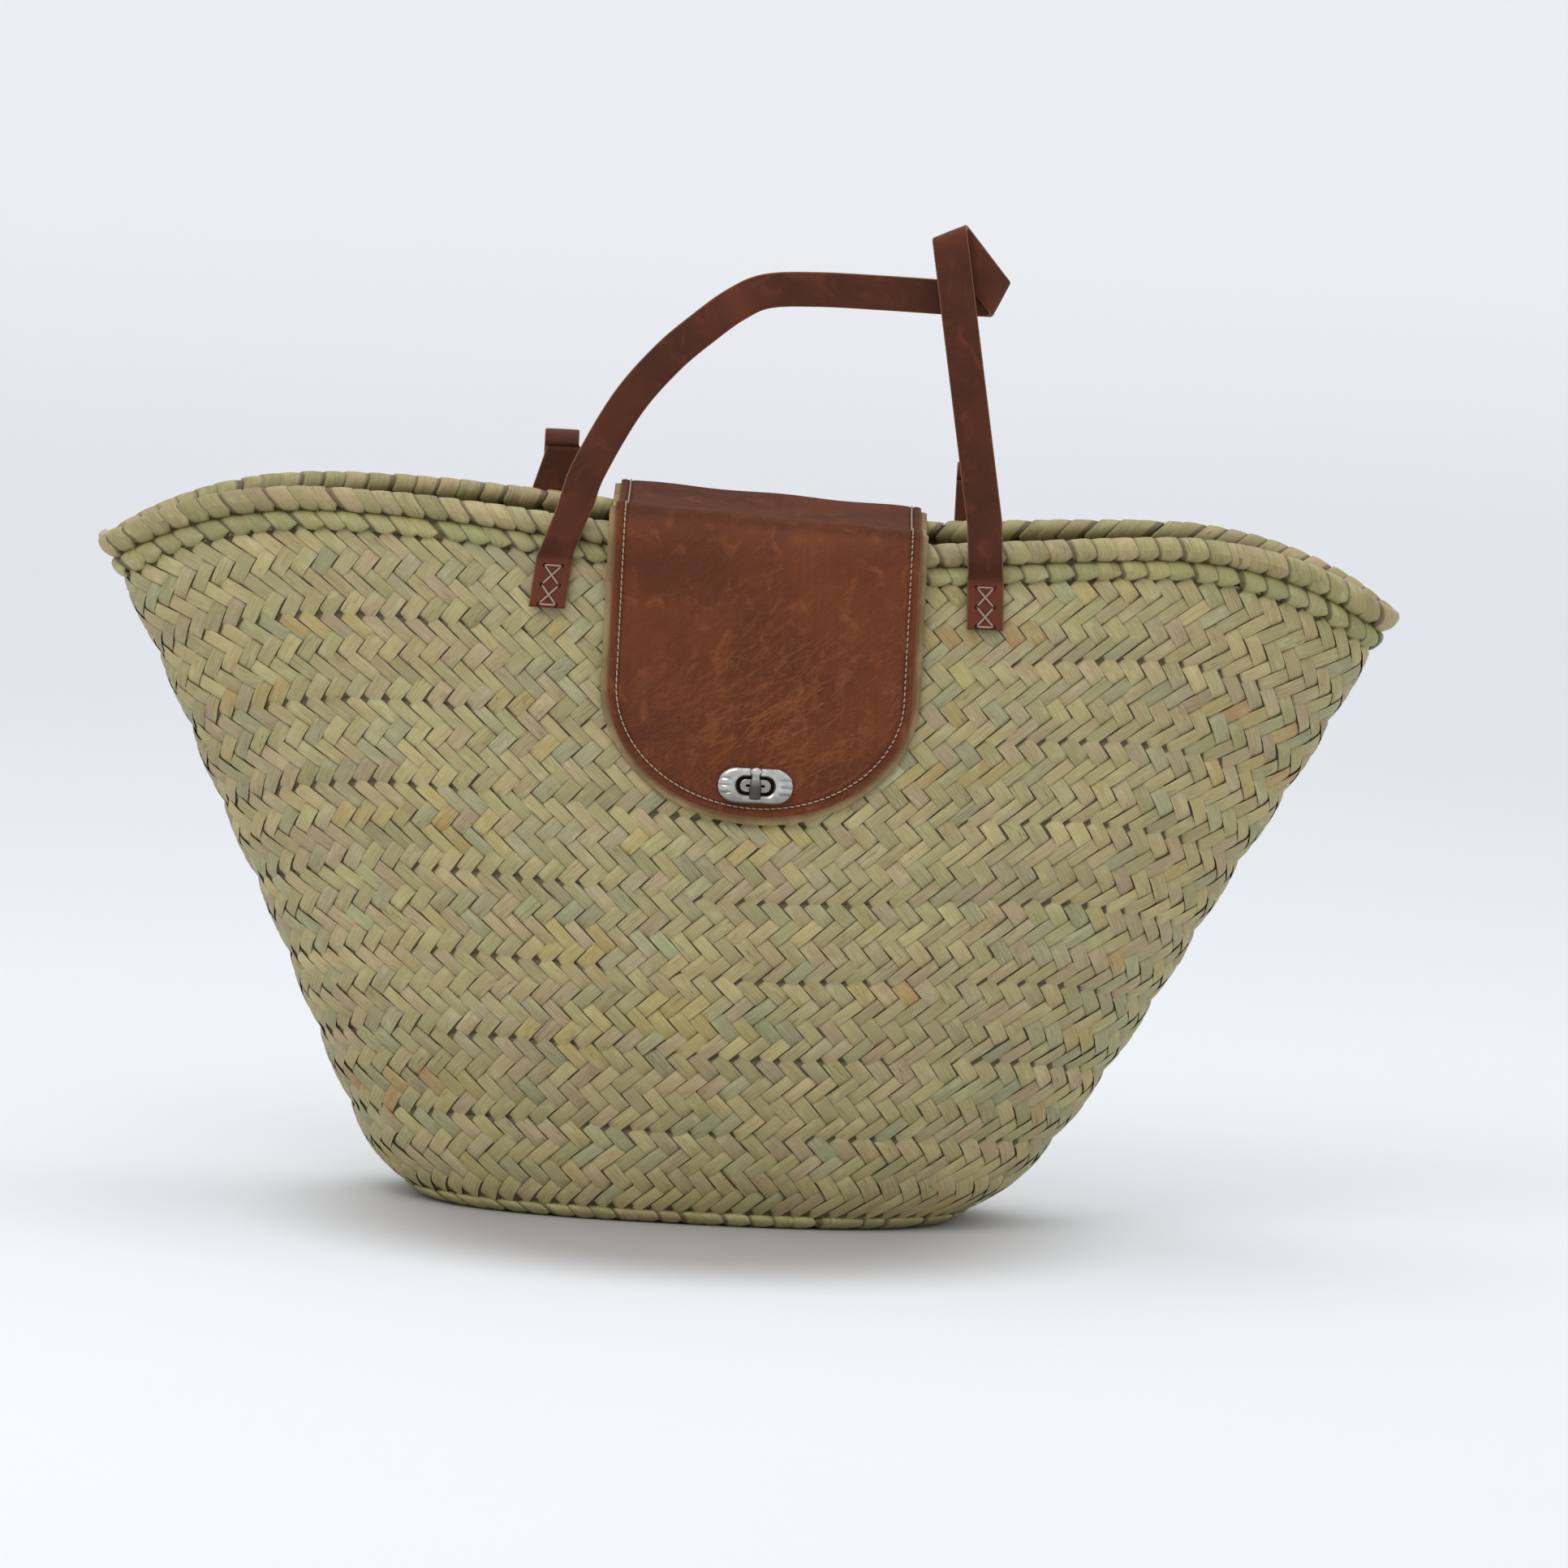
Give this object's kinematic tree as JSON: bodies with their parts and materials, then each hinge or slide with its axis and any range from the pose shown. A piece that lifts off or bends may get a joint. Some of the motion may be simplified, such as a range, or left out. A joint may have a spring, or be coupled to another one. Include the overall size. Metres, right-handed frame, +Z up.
{
  "type": "woven market basket",
  "caption": "Open woven palm-leaf basket with two leather strap handles and a leather flap closed by a metal turn lock.",
  "frame": {"origin": "centre of the flat woven underside, on the surface that the basket stands on", "axes": "+X along the mouth's length, -Y out of the front that carries the flap and the lock, +Z up"},
  "size_m": [0.6082, 0.2097, 0.4732],
  "materials": {
    "palm_leaf": "dry plaited palm leaf",
    "palm_cord": "twisted palm leaf cord",
    "rim_leaf": "wrapped palm leaf",
    "strap_leather": "smooth vegetable tanned",
    "flap_leather": "waxed, mottled",
    "suede": "raw flesh side",
    "thread": "waxed thread",
    "nickel": "polished nickel plate"
  },
  "bodies": {
    "root": {"base_plait": "palm_leaf", "base_edge_cord": "palm_cord", "wall_turn_1": "palm_leaf", "wall_turn_2": "palm_leaf", "wall_turn_3": "palm_leaf", "wall_turn_4": "palm_leaf", "wall_turn_5": "palm_leaf", "wall_turn_6": "palm_leaf", "wall_turn_7": "palm_leaf", "wall_turn_8": "palm_leaf", "rim_cord": "palm_cord", "rim_roll": "rim_leaf", "front_left_strap_end": "strap_leather", "front_left_cross_stitch": "thread", "front_left_inner_patch": "suede", "front_right_strap_end": "strap_leather", "front_right_cross_stitch": "thread", "front_right_inner_patch": "suede", "back_left_strap_end": "strap_leather", "back_left_cross_stitch": "thread", "back_left_inner_patch": "suede", "back_right_strap_end": "strap_leather", "back_right_cross_stitch": "thread", "back_right_inner_patch": "suede", "flap_anchor": "flap_leather", "flap_anchor_seam": "thread", "lock_base": "nickel", "lock_back_washer": "nickel"},
    "lock_knob": {"lock_knob": "nickel"},
    "flap_bridge": {"flap_bridge_leather": "flap_leather", "flap_bridge_lining": "suede"},
    "flap_front": {"flap_front_leather": "flap_leather", "flap_front_lining": "suede", "flap_front_seam": "thread", "lock_plate": "nickel", "lock_plate_washer": "nickel"},
    "front_handle": {"front_handle_strap": "strap_leather"},
    "back_handle": {"back_handle_strap": "strap_leather"}
  },
  "joints": [
    {"name": "lock_turn", "type": "hinge", "parent": "root", "child": "lock_knob", "pos_m": [0.0235, -0.08817, 0.2081], "axis": [0, -0.9966, 0.0819], "range_deg": [0, 90]},
    {"name": "flap_lift", "type": "hinge", "parent": "root", "child": "flap_bridge", "pos_m": [0.0235, 0.08, 0.3293], "axis": [-0.999, 0, 0.0436], "range_deg": [0, 110]},
    {"name": "flap_fold", "type": "hinge", "parent": "flap_bridge", "child": "flap_front", "pos_m": [0.0235, -0.0785, 0.3257], "axis": [-0.999, 0, 0.0436], "range_deg": [-55, 0]},
    {"name": "front_handle_swing", "type": "hinge", "parent": "root", "child": "front_handle", "pos_m": [0.0235, -0.0781, 0.331], "axis": [1, 0, 0], "range_deg": [-85, 145]},
    {"name": "back_handle_swing", "type": "hinge", "parent": "root", "child": "back_handle", "pos_m": [0.0235, 0.0785, 0.343], "axis": [1, 0, 0], "range_deg": [0, 140]}
  ],
  "couplings": [
    {"joint": "flap_fold", "follows": "flap_lift", "ratio": -0.5}
  ]
}
